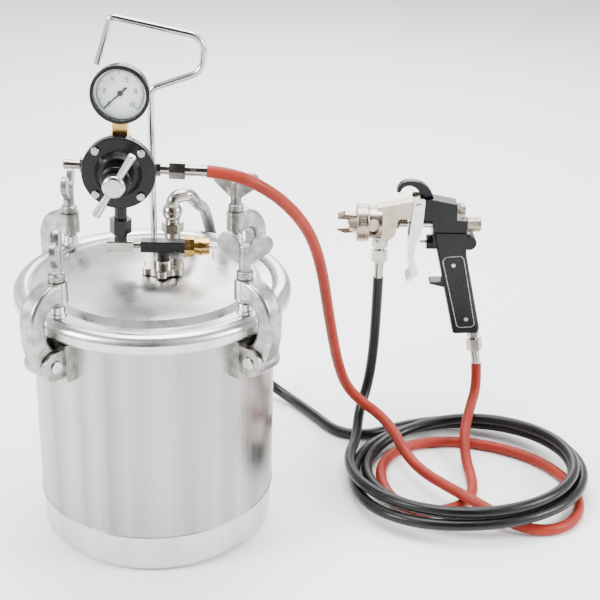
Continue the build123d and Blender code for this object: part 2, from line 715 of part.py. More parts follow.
# ---- spray gun ----
gun = facing(GUN_Y)
BORE_R = 4.55
with BuildPart() as gun_body:
    with BuildSketch(gun):
        with BuildLine():
            Polyline(
                (281, 265), (281, 289.5), (291, 290.5), (320, 285), (321, 266), (332.5, 266),
                (333.5, 232), (318, 225), (302, 232), (296, 236), (295, 251), (294, 265),
                close=True,
            )
        make_face()
    extrude(amount=10, both=True)
    with BuildSketch(gun):
        with BuildLine():
            Polyline(
                (295.5, 251), (333, 251), (334, 228), (356.5, 135), (354, 129), (326, 127.5),
                (302, 225), close=True,
            )
        make_face()
        with Locations((336.5, 240)):
            Circle(8)
    extrude(amount=12, both=True)
    grip_sides = gun_body.faces().filter_by(Axis.Y).edges().filter_by_position(Axis.Z, 120, 250)
    fillet(grip_sides.filter_by(GeomType.LINE).sort_by(Edge.length)[-4:], 4)
    # hanging hook
    with BuildSketch(gun):
        with BuildLine():
            ThreePointArc((294, 289), (282, 306), (266, 309.5))
            ThreePointArc((266, 309.5), (257, 306), (252.5, 297))
            Line((252.5, 297), (256.5, 295.5))
            ThreePointArc((256.5, 295.5), (261, 302.5), (267, 304))
            ThreePointArc((267, 304), (274.5, 300.5), (279, 289))
            Line((279, 289), (294, 289))
        make_face()
    extrude(amount=4.5, both=True)
    # finger rest
    with BuildSketch(gun):
        with BuildLine():
            Polyline((315, 191), (297, 190.2), (295.5, 187.8), (316, 183), close=True)
        make_face()
    extrude(amount=8, both=True)
    # air valve housing, bores of the needle, spreader screw and air valve
    with BuildSketch(sideways(289, GUN_Y, 236.6)):
        Circle(8.5)
    extrude(amount=14)
    with BuildSketch(sideways(275, GUN_Y, GUN_Z)):
        Circle(BORE_R)
    extrude(amount=70, mode=Mode.SUBTRACT)
    with BuildSketch(sideways(306, GUN_Y, 277)):
        Circle(3 + SLIP)
    extrude(amount=30, mode=Mode.SUBTRACT)
    with BuildSketch(sideways(280, GUN_Y, 236.6)):
        Circle(2.2 + SLIP)
    extrude(amount=38, mode=Mode.SUBTRACT)
save(gun_body, "gun_body")

with BuildPart() as gun_head:
    with BuildSketch(gun):
        with BuildLine():
            Polyline(
                (232, 241), (232, 279), (281, 289.5), (281, 266.5), (257, 266.5), (255.5, 264.2),
                (253, 247), (247, 241), close=True,
            )
        make_face()
    extrude(amount=9, both=True)
    with BuildSketch(sideways(223.5, GUN_Y, GUN_Z + 0.5)):
        Circle(18.5)
    extrude(amount=14)
    with BuildSketch(sideways(213.5, GUN_Y, GUN_Z)):
        Circle(17)
    extrude(amount=12)
    with BuildSketch(Plane.XY.offset(238)):
        with Locations((INLET_X, GUN_Y)):
            Circle(8)
    extrude(amount=12)
    # side recesses of the head
    for side in (1, -1):
        with BuildSketch(facing(GUN_Y + side * 12)):
            with Locations((228, GUN_Z + 1)):
                SlotOverall(18, 12, rotation=90)
        extrude(amount=-side * 10, mode=Mode.SUBTRACT)
    with BuildSketch(sideways(205, GUN_Y, GUN_Z)):
        Circle(6)
    extrude(amount=22, mode=Mode.SUBTRACT)
    with BuildSketch(sideways(205, GUN_Y, GUN_Z)):
        Circle(2.6)
    extrude(amount=60, mode=Mode.SUBTRACT)
    with BuildSketch(sideways(248, GUN_Y, GUN_Z)):
        Circle(4.5)
    extrude(amount=20, mode=Mode.SUBTRACT)
    with BuildSketch(gun):
        with Locations((TRIGGER_X, TRIGGER_Z)):
            Circle(2.5)
    extrude(amount=30, both=True, mode=Mode.SUBTRACT)
    with BuildSketch(Plane.XY.offset(230)):
        with Locations((INLET_X, GUN_Y)):
            Circle(4.5)
    extrude(amount=26, mode=Mode.SUBTRACT)
save(gun_head, "gun_head")

with BuildPart() as trigger_screw:
    with BuildSketch(gun):
        with Locations((TRIGGER_X, TRIGGER_Z)):
            Circle(2.5)
    extrude(amount=13 + GAP, both=True)
    for side in (1, -1):
        with BuildSketch(facing(GUN_Y - side * (13 + GAP))):
            with Locations((TRIGGER_X, TRIGGER_Z)):
                Circle(4.2)
        extrude(amount=side * 2)
save(trigger_screw, "trigger_screw")

with BuildPart() as trigger:
    with BuildSketch(gun):
        with BuildLine():
            Polyline(
                (271.5, 292), (284, 292), (283.2, 268), (281.5, 250), (277, 241), (275, 225),
                (276.3, 212), (281.5, 203), (279, 199), (270, 191.5), (268, 194), (274, 201),
                (270, 209), (268, 225), (268.6, 241), (269.8, 262), close=True,
            )
        make_face()
    extrude(amount=13, both=True)
    fillet(trigger.edges().filter_by(Axis.Y).filter_by_position(Axis.Z, 286, 300), 3)
    # the upper part is two cheeks astride the gun, and a bridge that pulls the needle
    with BuildSketch(facing(GUN_Y)):
        with Locations((276, 273)):
            Rectangle(60, 60)
    extrude(amount=10.6, both=True, mode=Mode.SUBTRACT)
    with BuildSketch(sideways(279, GUN_Y, GUN_Z)):
        with Locations((0, -0.75)):
            Rectangle(23, 9.5)
        Circle(3.6, mode=Mode.SUBTRACT)
    extrude(amount=2.4)
    with BuildSketch(gun):
        with Locations((TRIGGER_X, TRIGGER_Z)):
            Circle(2.5 + SLIP)
    extrude(amount=30, both=True, mode=Mode.SUBTRACT)
save(trigger, "trigger")

with BuildPart() as packing_nut:
    with BuildSketch(sideways(249, GUN_Y, GUN_Z)):
        Circle(4.5)
        Circle(1.6 + SLIP, mode=Mode.SUBTRACT)
    extrude(amount=18)
    with BuildSketch(sideways(253.2, GUN_Y, GUN_Z)):
        RegularPolygon(5.6, 6, major_radius=False)
        Circle(1.6 + SLIP, mode=Mode.SUBTRACT)
    extrude(amount=4.5)
save(packing_nut, "packing_nut")

SLEEVE_FRONT = 281.7
with BuildPart() as needle:
    with BuildSketch(sideways(204, GUN_Y, GUN_Z)):
        Circle(1.6)
    extrude(amount=100)
    with BuildSketch(sideways(SLEEVE_FRONT, GUN_Y, GUN_Z)):
        Circle(4.5)
    extrude(amount=22)
    chamfer(needle.faces().sort_by(Axis.X)[0].edges(), 1.2)
save(needle, "needle")

with BuildPart() as fluid_tip:
    with BuildSketch(sideways(226.9, GUN_Y, GUN_Z)):
        Circle(5.95)
    extrude(amount=-18)
    with BuildSketch(sideways(208.9, GUN_Y, GUN_Z)):
        Circle(3)
    extrude(amount=-8.5)
    with BuildSketch(sideways(190, GUN_Y, GUN_Z)):
        Circle(1.6 + SLIP)
    extrude(amount=45, mode=Mode.SUBTRACT)
save(fluid_tip, "fluid_tip")

HORN_TURN = 25
with BuildPart() as air_cap:
    with BuildSketch(sideways(213, GUN_Y, GUN_Z)):
        Circle(15)
    extrude(amount=-3.2)
    with BuildSketch(sideways(209.8, GUN_Y, GUN_Z)):
        Circle(12)
    extrude(amount=-8, taper=20)
    horn = Plane(
        origin=(0, GUN_Y, GUN_Z), x_dir=(1, 0, 0),
        z_dir=(0, -cos(radians(HORN_TURN)), -sin(radians(HORN_TURN))),
    )
    for side in (1, -1):
        with BuildSketch(horn):
            with BuildLine():
                Polyline(
                    (211, side * 4), (211, side * 13.5), (197, side * 15), (188.5, side * 10.5),
                    (188.5, side * 7.5), (198, side * 7), close=True,
                )
            make_face()
        extrude(amount=3.2, both=True)
    with BuildSketch(sideways(215, GUN_Y, GUN_Z)):
        Circle(6.4)
    extrude(amount=-9, mode=Mode.SUBTRACT)
    with BuildSketch(sideways(215, GUN_Y, GUN_Z)):
        Circle(3.4)
    extrude(amount=-40, mode=Mode.SUBTRACT)
save(air_cap, "air_cap")

with BuildPart() as cap_ring:
    with BuildSketch(sideways(209.5, GUN_Y, GUN_Z)):
        Circle(21.2)
        Circle(15 + SLIP, mode=Mode.SUBTRACT)
    extrude(amount=4)
    with BuildSketch(sideways(213.5, GUN_Y, GUN_Z)):
        Circle(21.2)
        Circle(17 + SLIP, mode=Mode.SUBTRACT)
    extrude(amount=9.7)
    fillet(cap_ring.edges().filter_by(GeomType.CIRCLE).group_by(SortBy.RADIUS)[-1], 1.5)
save(cap_ring, "cap_ring")

with BuildPart() as fluid_knob:
    with BuildSketch(sideways(316, GUN_Y, GUN_Z)):
        Circle(4.5)
    extrude(amount=20)
    with BuildSketch(sideways(333.4, GUN_Y, GUN_Z)):
        Circle(8)
    extrude(amount=15.6)
    fillet(fluid_knob.edges().filter_by(GeomType.CIRCLE).group_by(SortBy.RADIUS)[-1], 1)
save(fluid_knob, "fluid_knob")

with BuildPart() as spreader_knob:
    with BuildSketch(sideways(308, GUN_Y, 277)):
        Circle(3)
    extrude(amount=18)
    with BuildSketch(sideways(324, GUN_Y, 277)):
        Circle(6.3)
    extrude(amount=6.5)
    fillet(spreader_knob.edges().filter_by(GeomType.CIRCLE).group_by(SortBy.RADIUS)[-1], 0.8)
save(spreader_knob, "spreader_knob")

STEM_TIP = 281.7
with BuildPart() as air_valve_stem:
    with BuildSketch(sideways(STEM_TIP, GUN_Y, 236.6)):
        Circle(2.2)
    extrude(amount=20.5)
    fillet(air_valve_stem.faces().sort_by(Axis.X)[0].edges(), 0.8)
save(air_valve_stem, "air_valve_stem")

# ---- gun inlets and the hose end couplings ----
GRIP_END = (350, GUN_Y, 130)
grip_down = Vector(sin(radians(GRIP_LEAN)), 0, -cos(radians(GRIP_LEAN)))
gun_air_port = Plane(origin=GRIP_END, z_dir=grip_down)
gun_fluid_port = Plane(origin=(INLET_X, GUN_Y, 240), z_dir=(0, 0, -1))
INLET_LENGTH = 13
with BuildPart() as gun_inlets:
    for port, inside, outside in ((gun_fluid_port, -8, 2), (gun_air_port, -5, 3)):
        with BuildSketch(port.offset(inside)):
            Circle(4.5)
        extrude(amount=INLET_LENGTH - inside)
        with BuildSketch(port.offset(outside)):
            RegularPolygon(8 if outside == 2 else 6.5, 6, major_radius=False)
        extrude(amount=INLET_LENGTH - outside - 3)
        with BuildSketch(port.offset(inside - 1)):
            Circle(2.7)
        extrude(amount=40, mode=Mode.SUBTRACT)
save(gun_inlets, "gun_inlets")

regulator_port = riser_side(OUTLET_END)
coupling_planes = (
    gun_fluid_port.offset(INLET_LENGTH), gun_air_port.offset(INLET_LENGTH), regulator_port,
)
with BuildPart() as hose_couplings:
    for plane in coupling_planes:
        with BuildSketch(plane):
            RegularPolygon(7.8, 6, major_radius=False)
        extrude(amount=NUT_LENGTH)
        with BuildSketch(plane.offset(NUT_LENGTH)):
            Circle(TAIL_R)
        extrude(amount=TAIL_LENGTH)
        with BuildSketch(plane):
            Circle(2.7)
        extrude(amount=NUT_LENGTH + TAIL_LENGTH, mode=Mode.SUBTRACT)
save(hose_couplings, "hose_couplings")


# ---- hoses ----
def bend_radii(points):
    """Each corner's arc: 0.45 of its shorter run over the tangent of half the turn."""
    found = []
    for before, corner, after in zip(points, points[1:], points[2:]):
        first, second = Vector(*corner) - Vector(*before), Vector(*after) - Vector(*corner)
        half = radians(first.get_angle(second)) / 2
        found.append(0.45 * min(first.length, second.length) / tan(half))
    return found


def hose(label, points):
    radii = bend_radii(points)
    print(label, "bend radii", [round(r) for r in radii])
    with BuildPart() as tube:
        with BuildLine() as line:
            FilletPolyline(*points, radius=radii)
        path = line.wires()[0]
        with BuildSketch(Plane(origin=path @ 0, z_dir=path % 0)):
            Circle(HOSE_R)
        sweep(path=path)
    expected = pi * HOSE_R**2 * path.length
    print(label, "length", round(path.length), "volume ratio", round(tube.part.volume / expected, 4))
    save(tube, label)
    return path


end_of = NUT_LENGTH + TAIL_LENGTH
regulator_tail = tuple(regulator_port.origin + regulator_port.z_dir * end_of)
gun_air_tail = tuple(gun_air_port.origin + grip_down * (INLET_LENGTH + end_of))
gun_fluid_tail = (INLET_X, GUN_Y, 240 - INLET_LENGTH - end_of)

AIR_ROUTE = [
    regulator_tail, (78, AIR_Y + 1, 383), (106, -8, 368), (133, 10, 341), (154, 33, 305), (167, 57, 260),
    (175, 80, 210), (183, 102, 160), (192, 121, 112), (203, 134, 76), (221, 141, 52), (243, 132, 40),
    (258, 108, 33), (268, 76, 25), (284, 42, 21), (312, 11, 20), (344, -18, 17), (383, -46, 7),
    (425, -45, 6), (453, -10, 6), (454, 44, 6), (424, 94, 6), (372, 124, 6), (318, 132, 6), (268, 116, 6),
    (242, 76, 6), (242, 35, 6), (254, 2, 6), (284, -16, 6), (317, -9, 6), (339, 17, 6), (343, 50, 6),
    (340, 86, 9), (341, 120, 24), (351, 151, 41), (360, 172, 58), gun_air_tail,
]
hose("air_hose", AIR_ROUTE)

elbow_end = ELBOW_POINTS[-1]
FLUID_ROUTE = [
    elbow_end, (38.5, 66, 322.5), (40, 92, 309), (42, 120, 297), (44, 147, 278), (48, 166, 248),
    (54, 180, 210), (61, 194, 164), (70, 210, 112), (81, 229, 66), (102, 243, 27), (137, 229, 7), (168, 190, 6),
    (195, 147, 6), (231, 133, 8),
]
hose("fluid_hose_pot_side", FLUID_ROUTE)

FLUID_DROP = [
    gun_fluid_tail, (INLET_X, GUN_Y, 140), (236, 179, 90), (231, 171, 55), (221, 150, 34), (211, 118, 26),
]
hose("fluid_hose_gun_side", FLUID_DROP)

COIL_CENTRE = (336, 56)
COIL_OUTER = (142, 130)
COIL_BAND = 38
COIL_HIGH = 24
COIL_SLOPE = 0.0723     # it leans on the air hose at its front right
COIL_LEAN = (0.6, -0.8)
COIL_LOW = 9.8          # underside at the coil's centre
with BuildPart() as fluid_hose_coil:
    upright = Vector(-COIL_LEAN[0] * COIL_SLOPE, -COIL_LEAN[1] * COIL_SLOPE, 1)
    underside = Plane(origin=(*COIL_CENTRE, COIL_LOW), x_dir=(1, 0, COIL_LEAN[0] * COIL_SLOPE), z_dir=upright)
    with BuildSketch(underside):
        Ellipse(*COIL_OUTER)
        Ellipse(COIL_OUTER[0] - COIL_BAND, COIL_OUTER[1] - COIL_BAND, mode=Mode.SUBTRACT)
    extrude(amount=COIL_HIGH)
    fillet(fluid_hose_coil.edges(), 8)
save(fluid_hose_coil, "fluid_hose_coil")
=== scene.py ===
"""Looks of the pressure pot: camera, hoses, materials, small detail and studio."""
import json
from math import cos, exp, pi, radians, sin

import bmesh
import bpy
from mathutils import Matrix, Vector


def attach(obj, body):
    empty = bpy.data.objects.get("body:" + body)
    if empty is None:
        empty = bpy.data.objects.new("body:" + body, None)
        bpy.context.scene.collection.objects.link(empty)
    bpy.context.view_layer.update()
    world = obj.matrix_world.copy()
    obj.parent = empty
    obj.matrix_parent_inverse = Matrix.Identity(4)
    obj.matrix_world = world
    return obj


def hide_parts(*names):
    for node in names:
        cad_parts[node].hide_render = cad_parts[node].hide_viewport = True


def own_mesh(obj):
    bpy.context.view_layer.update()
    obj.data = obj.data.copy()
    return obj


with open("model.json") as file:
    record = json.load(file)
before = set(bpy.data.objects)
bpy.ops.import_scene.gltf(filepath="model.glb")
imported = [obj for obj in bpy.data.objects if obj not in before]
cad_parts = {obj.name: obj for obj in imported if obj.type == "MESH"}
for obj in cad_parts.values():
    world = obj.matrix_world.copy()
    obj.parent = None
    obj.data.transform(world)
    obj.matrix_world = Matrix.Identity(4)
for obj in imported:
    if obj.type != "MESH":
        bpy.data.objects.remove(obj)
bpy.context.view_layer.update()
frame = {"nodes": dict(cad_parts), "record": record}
nodes = frame["nodes"]
MM = 0.001
POT = "pot"


# ---- camera ----
CAMERA_AT = Vector((0.1197, -1.1658, 0.7929))
PITCH, ROLL, YAW = radians(25.145), radians(1.559), radians(1.252)
ahead = Vector((sin(YAW) * cos(PITCH), cos(YAW) * cos(PITCH), -sin(PITCH)))
level = Vector((cos(YAW), -sin(YAW), 0))
over = level.cross(ahead)
right = level * cos(ROLL) + over * sin(ROLL)
up = over * cos(ROLL) - level * sin(ROLL)
camera = bpy.data.objects.new("camera", bpy.data.cameras.new("camera"))
camera.data.lens = 77.7
camera.data.sensor_width = 36
turn = Matrix((right, up, -ahead)).transposed()
camera.matrix_world = Matrix.Translation(CAMERA_AT) @ turn.to_4x4()
bpy.context.scene.collection.objects.link(camera)
bpy.context.scene.camera = camera


# ---- materials ----
def material(name, colour, metallic=0.0, roughness=0.5, **sockets):
    """A principled material; its nodes are returned for the detail."""
    made = bpy.data.materials.new(name)
    made.use_nodes = True
    tree = made.node_tree
    shader = tree.nodes["Principled BSDF"]
    shader.inputs["Base Color"].default_value = (*colour, 1)
    shader.inputs["Metallic"].default_value = metallic
    shader.inputs["Roughness"].default_value = roughness
    for socket, value in sockets.items():
        shader.inputs[socket.replace("_", " ")].default_value = value
    return made


def noise(made, scale, stretch=(1, 1, 1), detail=4.0):
    """Noise in the object's own space, stretched along some axes."""
    tree = made.node_tree
    where = tree.nodes.new("ShaderNodeTexCoord")
    mapping = tree.nodes.new("ShaderNodeMapping")
    mapping.inputs["Scale"].default_value = stretch
    texture = tree.nodes.new("ShaderNodeTexNoise")
    texture.inputs["Scale"].default_value = scale
    texture.inputs["Detail"].default_value = detail
    tree.links.new(where.outputs["Object"], mapping.inputs["Vector"])
    tree.links.new(mapping.outputs["Vector"], texture.inputs["Vector"])
    return texture


def vary_roughness(made, texture, low, high):
    tree = made.node_tree
    ramp = tree.nodes.new("ShaderNodeMapRange")
    ramp.inputs["From Min"].default_value = 0.3
    ramp.inputs["From Max"].default_value = 0.7
    ramp.inputs["To Min"].default_value = low
    ramp.inputs["To Max"].default_value = high
    tree.links.new(texture.outputs["Fac"], ramp.inputs["Value"])
    tree.links.new(ramp.outputs["Result"], tree.nodes["Principled BSDF"].inputs["Roughness"])


def vary_colour(made, texture, first, second):
    tree = made.node_tree
    ramp = tree.nodes.new("ShaderNodeValToRGB")
    ramp.color_ramp.elements[0].position = 0.35
    ramp.color_ramp.elements[0].color = (*first, 1)
    ramp.color_ramp.elements[1].position = 0.65
    ramp.color_ramp.elements[1].color = (*second, 1)
    tree.links.new(texture.outputs["Fac"], ramp.inputs["Fac"])
    tree.links.new(ramp.outputs["Color"], tree.nodes["Principled BSDF"].inputs["Base Color"])


def bump(made, texture, strength, distance=0.0005):
    tree = made.node_tree
    node = tree.nodes.new("ShaderNodeBump")
    node.inputs["Strength"].default_value = strength
    node.inputs["Distance"].default_value = distance
    tree.links.new(texture.outputs["Fac"], node.inputs["Height"])
    tree.links.new(node.outputs["Normal"], tree.nodes["Principled BSDF"].inputs["Normal"])


EVEN = (1, 1, 1)
RELIEF_DEPTH = 0.0003


def metal(name, colour, second, roughness, spread, grain_scale, stretch, relief):
    """Metal whose grain varies its roughness, and its colour and relief where they are given."""
    made = material(name, colour, 1.0, roughness)
    grain = noise(made, grain_scale, stretch)
    vary_roughness(made, grain, roughness - spread, roughness + spread)
    if second:
        vary_colour(made, noise(made, grain_scale * 0.6, stretch, 6.0), colour, second)
    if relief:
        bump(made, grain, relief, RELIEF_DEPTH)
    return made


# slot: colour, second colour, roughness, its spread, grain scale, grain stretch, relief
METALS = {
    "wall_steel": ((0.27, 0.265, 0.25), (0.44, 0.43, 0.41), 0.25, 0.05, 60, (1, 1, 0.02), 0.05),
    "base_steel": ((0.58, 0.57, 0.54), (0.68, 0.67, 0.64), 0.34, 0.06, 90, (1, 1, 0.05), 0.05),
    "lid_steel": ((0.52, 0.52, 0.51), (0.64, 0.64, 0.63), 0.28, 0.05, 45, EVEN, 0.03),
    "clamp_casting": ((0.24, 0.235, 0.22), (0.43, 0.42, 0.405), 0.34, 0.08, 180, EVEN, 0.25),
    "bracket_casting": ((0.24, 0.235, 0.22), (0.45, 0.44, 0.42), 0.34, 0.08, 160, EVEN, 0.2),
    "pin_steel": ((0.62, 0.61, 0.6), (0.72, 0.71, 0.7), 0.25, 0.06, 120, EVEN, 0.05),
    "wing_casting": ((0.2, 0.195, 0.185), (0.38, 0.37, 0.355), 0.4, 0.08, 200, EVEN, 0.3),
    "foot_steel": ((0.55, 0.54, 0.53), (0.65, 0.64, 0.63), 0.32, 0.06, 120, EVEN, 0.05),
    "rod_steel": ((0.46, 0.45, 0.44), (0.56, 0.55, 0.54), 0.2, 0.05, 80, (1, 1, 0.1), 0.02),
    "fitting_nickel": ((0.34, 0.32, 0.285), (0.44, 0.42, 0.37), 0.22, 0.06, 120, EVEN, 0.04),
    "brass": ((0.58, 0.34, 0.09), (0.68, 0.44, 0.15), 0.26, 0.07, 140, EVEN, 0.05),
    "spring_steel": ((0.5, 0.5, 0.5), None, 0.3, 0.05, 120, EVEN, 0),
    "ring_zinc": ((0.7, 0.7, 0.68), (0.9, 0.9, 0.88), 0.3, 0.05, 120, EVEN, 0.05),
    "gun_nickel": ((0.33, 0.285, 0.22), (0.43, 0.38, 0.31), 0.28, 0.07, 140, EVEN, 0.1),
    "trigger_polish": ((0.6, 0.59, 0.57), (0.7, 0.69, 0.67), 0.24, 0.06, 90, (1, 1, 0.2), 0.03),
}
looks = {name: metal(name, *row) for name, row in METALS.items()}


def coated(name, colour, second, roughness, coat, grain_scale, relief, shine=0.5):
    """Paint, rubber or plastic with mottled colour and a fine skin."""
    made = material(
        name, colour, 0.0, roughness, Coat_Weight=coat, Coat_Roughness=0.12, Specular_IOR_Level=shine,
    )
    skin = noise(made, grain_scale)
    vary_roughness(made, skin, roughness * 0.8, roughness * 1.25)
    vary_colour(made, noise(made, grain_scale * 0.15, EVEN, 6.0), colour, second)
    bump(made, skin, relief, RELIEF_DEPTH)
    return made


def brushed(made, amount):
    """Grain that runs round the pot's axis spreads reflections up and down."""
    tree = made.node_tree
    tangent = tree.nodes.new("ShaderNodeTangent")
    tangent.direction_type = "RADIAL"
    tangent.axis = "Z"
    tree.links.new(tangent.outputs["Tangent"], tree.nodes["Principled BSDF"].inputs["Tangent"])
    tree.nodes["Principled BSDF"].inputs["Anisotropic"].default_value = amount


for slot_name, amount in (("wall_steel", 0.85), ("base_steel", 0.75), ("lid_steel", 0.75)):
    brushed(looks[slot_name], amount)

# slot: colour, second colour, roughness, coat, grain scale, relief, and the shine where it is low
COATINGS = {
    "gasket_rubber": ((0.03, 0.03, 0.03), (0.05, 0.05, 0.048), 0.7, 0.0, 300, 0.2),
    "black_enamel": ((0.002, 0.002, 0.0022), (0.004, 0.004, 0.0045), 0.24, 0.06, 240, 0.06, 0.22),
    "diaphragm_rubber": ((0.03, 0.03, 0.03), (0.045, 0.045, 0.045), 0.65, 0.0, 300, 0.2),
    "dial_white": ((0.80, 0.86, 0.88), (0.86, 0.90, 0.91), 0.5, 0.0, 200, 0.02),
    "pointer_black": ((0.02, 0.02, 0.02), (0.03, 0.03, 0.03), 0.4, 0.0, 200, 0.02),
    "gun_black": ((0.002, 0.002, 0.0024), (0.005, 0.005, 0.006), 0.3, 0.05, 260, 0.1, 0.2),
    "red_hose": ((0.21, 0.017, 0.009), (0.27, 0.026, 0.014), 0.45, 0.0, 200, 0.12, 0.2),
    "black_hose": ((0.0015, 0.0015, 0.0017), (0.003, 0.003, 0.0034), 0.33, 0.0, 160, 0.03, 0.3),
}
looks |= {name: coated(name, *row) for name, row in COATINGS.items()}
looks["gauge_glass"] = material(
    "gauge_glass", (1, 1, 1), 0.0, 0.03, Transmission_Weight=1.0, IOR=1.05, Alpha=0.25,
)
vary_roughness(looks["gauge_glass"], noise(looks["gauge_glass"], 60), 0.01, 0.05)

slot_of = {part["node"]: part["material_slot"] for part in frame["record"]["subparts"]}
for name, node in nodes.items():
    for place in node.material_slots:
        place.material = looks[slot_of[name]]


# ---- pieces ----
def piece(name, mesh, slot, body=POT):
    """A new object of one mesh or curve that rides on a body."""
    made = bpy.data.objects.new(name, mesh)
    made.data.materials.append(looks[slot])
    bpy.context.scene.collection.objects.link(made)
    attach(made, body)
    return made


# ---- hoses ----
HOSE_R = 6 * MM


def hose_curve(name, points, slot):
    """A smooth hose along given points, in millimetres."""
    curve = bpy.data.curves.new(name, "CURVE")
    curve.dimensions = "3D"
    curve.bevel_depth = HOSE_R
    curve.bevel_resolution = 6
    curve.resolution_u = 10
    spline = curve.splines.new("NURBS")
    spline.points.add(len(points) - 1)
    for control, (x, y, z) in zip(spline.points, points):
        control.co = (x * MM, y * MM, z * MM, 1)
    spline.order_u = 3
    spline.use_endpoint_u = True
    return piece(name, curve, slot)


RISER_LEAN = radians(1.9)
OUTLET_TAIL = 80.5      # along the outlet, from the regulator's centre to the hose
air_start = (
    -28.5 + 79 * sin(RISER_LEAN) + OUTLET_TAIL * cos(RISER_LEAN), -18,
    309 + 79 * cos(RISER_LEAN) - OUTLET_TAIL * sin(RISER_LEAN),
)
GRIP_LEAN = radians(10)
GRIP_TAIL = 48
air_end = (350 + GRIP_TAIL * sin(GRIP_LEAN), 180, 130 - GRIP_TAIL * cos(GRIP_LEAN))
AIR_ROUTE = [
    air_start, (78, -17, 383), (106, -8, 368), (133, 10, 341), (154, 33, 305), (167, 57, 260),
    (175, 80, 210), (183, 102, 160), (192, 121, 112), (203, 134, 76), (221, 141, 52), (243, 132, 40),
    (258, 108, 33), (268, 76, 25), (284, 42, 21), (312, 11, 20), (344, -18, 17), (383, -46, 7),
    (425, -45, 6), (453, -10, 6), (454, 44, 6), (424, 94, 6), (372, 124, 6), (318, 132, 6), (268, 116, 6),
    (242, 76, 6), (242, 35, 6), (254, 2, 6), (284, -16, 6), (317, -9, 6), (339, 17, 6), (343, 50, 6),
    (340, 86, 9), (341, 120, 24), (351, 151, 41), (360, 172, 58), air_end,
]
air_hose = hose_curve("red_air_hose", AIR_ROUTE, "red_hose")
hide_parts("air_hose")

COIL_AT = (336, 56)
COIL_OUTER = (142, 130)
COIL_LOW, COIL_SLOPE = 9.8, 0.0723
COIL_LEAN = (0.6, -0.8)
COIL_FIRST, COIL_LAST = 122, 155 - 1080     # it is wound clockwise, seen from above
PER_TURN = 18


def coil_point(angle):
    """The hose's middle: an inward spiral on the floor, then one turn outwards on top of it."""
    turns = (COIL_FIRST - angle) / 360
    climbed = min(max((turns - 1.9) / 0.2, 0), 1)
    wobble = 1.6 * sin(radians(angle * 1.37)) + 1.2 * sin(radians(angle * 0.61 + 40))
    slack = 15 * exp(-((angle + 135) / 32) ** 2)     # the first turn bulges at the near left
    inset = 8 + 11.8 * min(turns, 2) + wobble - slack - climbed * 24 * max(turns - 2, 0)
    a = radians(angle)
    x = COIL_AT[0] + (COIL_OUTER[0] - inset) * cos(a)
    y = COIL_AT[1] + (COIL_OUTER[1] - inset) * sin(a)
    tilt = COIL_LEAN[0] * (x - COIL_AT[0]) + COIL_LEAN[1] * (y - COIL_AT[1])
    return (x, y, COIL_LOW + COIL_SLOPE * tilt + 6.3 + 12.2 * climbed)


steps = round((COIL_FIRST - COIL_LAST) / 360 * PER_TURN)
coil_turns = [coil_point(COIL_FIRST + (COIL_LAST - COIL_FIRST) * i / steps) for i in range(steps + 1)]
fluid_start = (36, 53, 331)
fluid_end = (237.5, 180, 192)
FLUID_ROUTE = [
    fluid_start, (38.5, 66, 322.5), (40, 92, 309), (42, 120, 297), (44, 147, 278), (48, 166, 248),
    (54, 180, 210), (61, 194, 164), (70, 210, 112), (81, 229, 66), (102, 243, 27), (137, 229, 7),
    (168, 190, 6), (195, 147, 6), (231, 139, 7),
]
FLUID_DROP = [(221, 150, 34), (231, 171, 55), (236, 179, 90), (237.5, 180, 140), fluid_end]
fluid_hose = hose_curve("black_fluid_hose", FLUID_ROUTE + coil_turns + FLUID_DROP, "black_hose")
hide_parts("fluid_hose_pot_side", "fluid_hose_coil", "fluid_hose_gun_side")


# ---- dial ----
def node_box(name):
    """A node's lowest and highest corners, in metres."""
    corners = [nodes[name].matrix_world @ Vector(c) for c in nodes[name].bound_box]
    return (
        Vector([min(c[k] for c in corners) for k in range(3)]),
        Vector([max(c[k] for c in corners) for k in range(3)]),
    )


def strokes(name, lines, width, slot, body=POT):
    """Thin straight strokes, each a list of points in metres."""
    curve = bpy.data.curves.new(name, "CURVE")
    curve.dimensions = "3D"
    curve.bevel_depth = width / 2
    curve.bevel_resolution = 1
    for line in lines:
        spline = curve.splines.new("POLY")
        spline.points.add(len(line) - 1)
        for control, at in zip(spline.points, line):
            control.co = (*at, 1)
    return piece(name, curve, slot, body)


DIAL_PROUD = 0.00008
SWEEP = 270
SWEEP_FROM = -135
dial_low, dial_high = node_box("gauge_dial")
dial_at = (dial_low + dial_high) / 2
dial_front = dial_low.y
dial_r = (dial_high.x - dial_low.x) / 2


def on_dial(share, degrees, across=0.0, along=0.0):
    """A point just proud of the dial; the angle runs clockwise from straight up."""
    a = radians(degrees)
    x = share * dial_r * sin(a) + across
    z = share * dial_r * cos(a) + along
    return Vector((dial_at.x + x, dial_front - DIAL_PROUD, dial_at.z + z))


